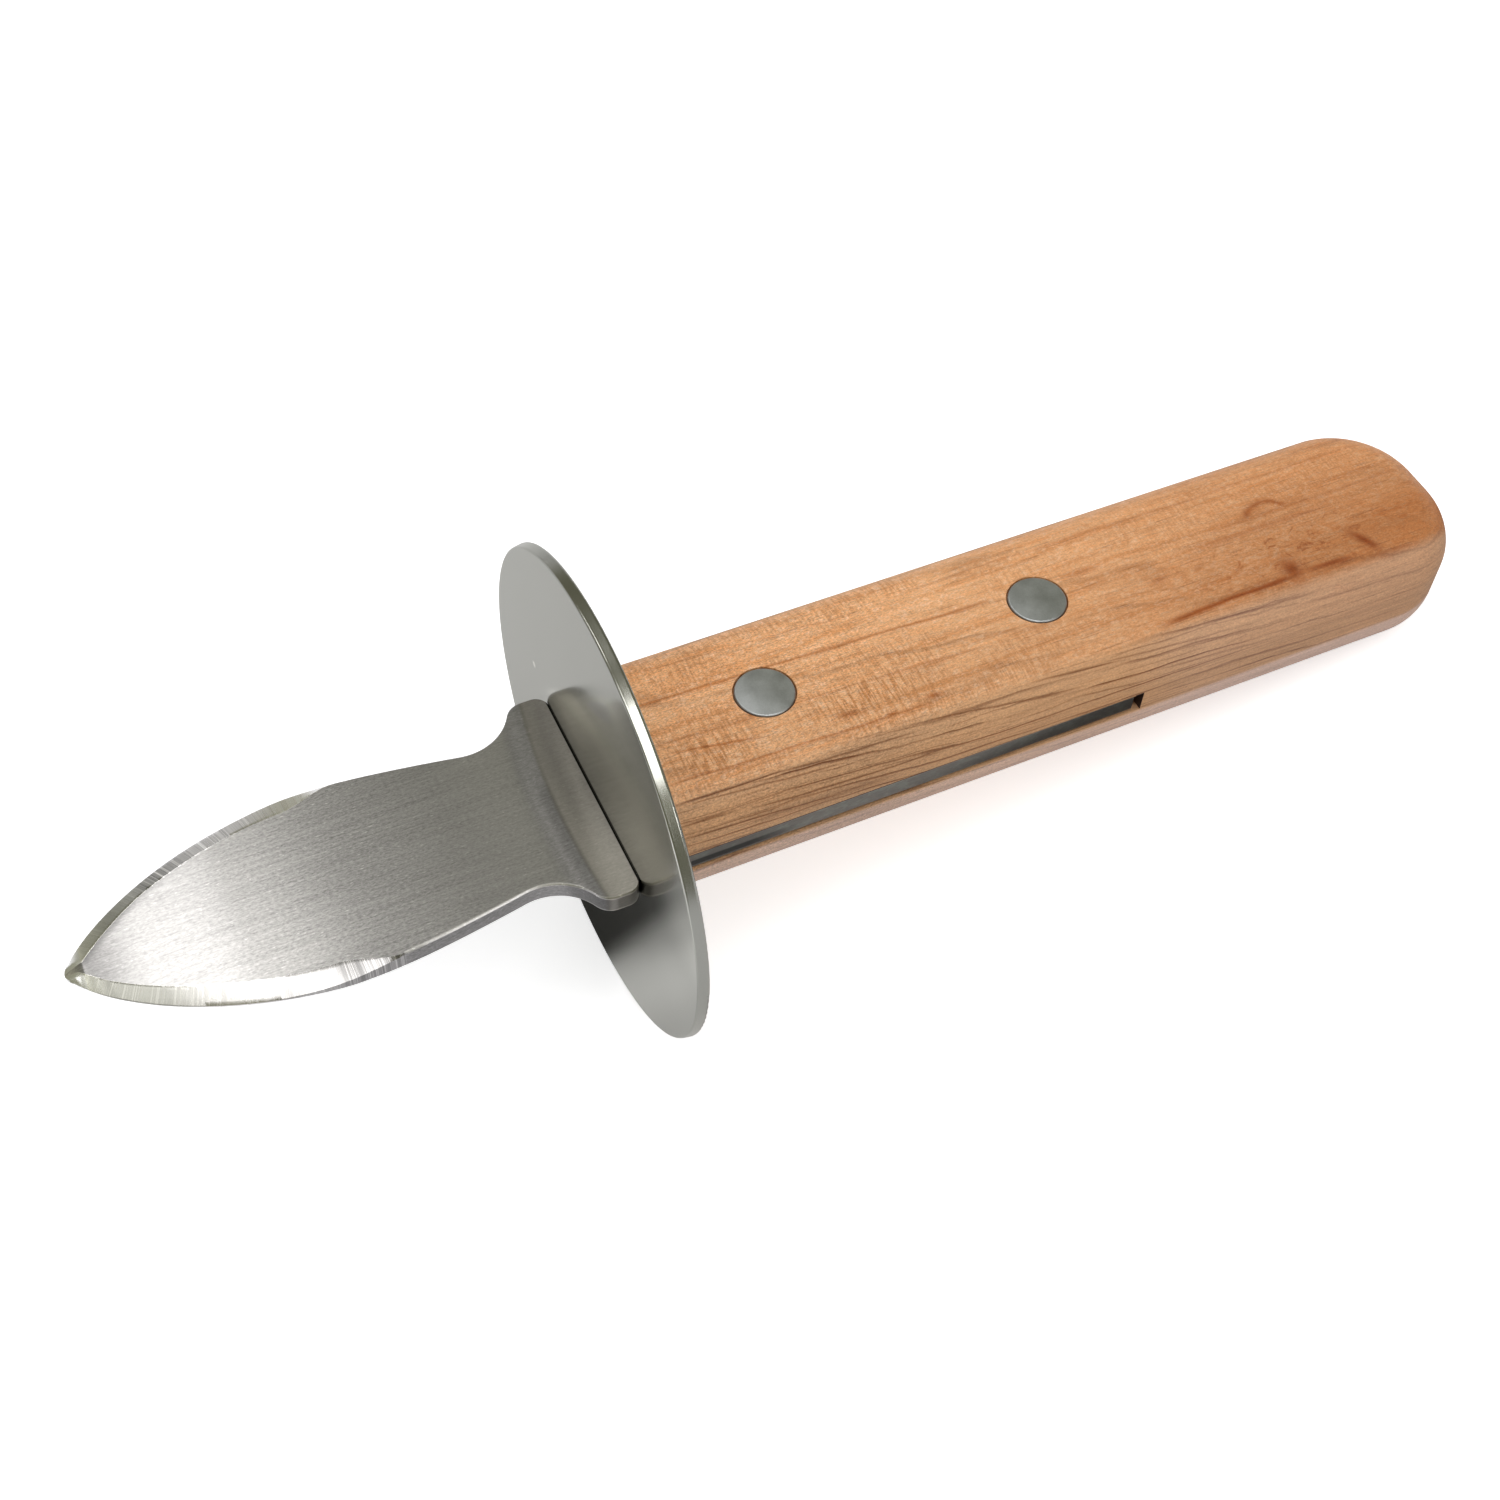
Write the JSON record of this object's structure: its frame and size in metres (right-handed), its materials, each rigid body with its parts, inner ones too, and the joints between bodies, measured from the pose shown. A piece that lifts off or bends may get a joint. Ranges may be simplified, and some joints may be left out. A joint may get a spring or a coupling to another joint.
{
  "type": "oyster knife",
  "caption": "Oyster knife: a short spear-shaped steel blade with a full-width shoulder, a round hand guard and a slotted wooden handle riveted through the tang.",
  "frame": {"origin": "on the knife's long axis, midway between the blade's tip and the handle's butt, in the middle of the blade's thickness", "axes": "+X from the tip towards the butt; +Z square to the blade's flats and the handle's broad faces; +Y across the blade"},
  "size_m": [0.148, 0.05, 0.05],
  "materials": {
    "blade": "brushed along the blade, with ground bevels",
    "guard": "satin sheet",
    "handle": "sanded and oiled light hardwood",
    "rivet": "dull"
  },
  "bodies": {
    "root": {"blade": "blade", "guard": "guard", "handle": "handle", "front_rivet_stem": "rivet", "front_rivet_sleeve": "rivet", "rear_rivet_stem": "rivet", "rear_rivet_sleeve": "rivet"}
  },
  "joints": []
}
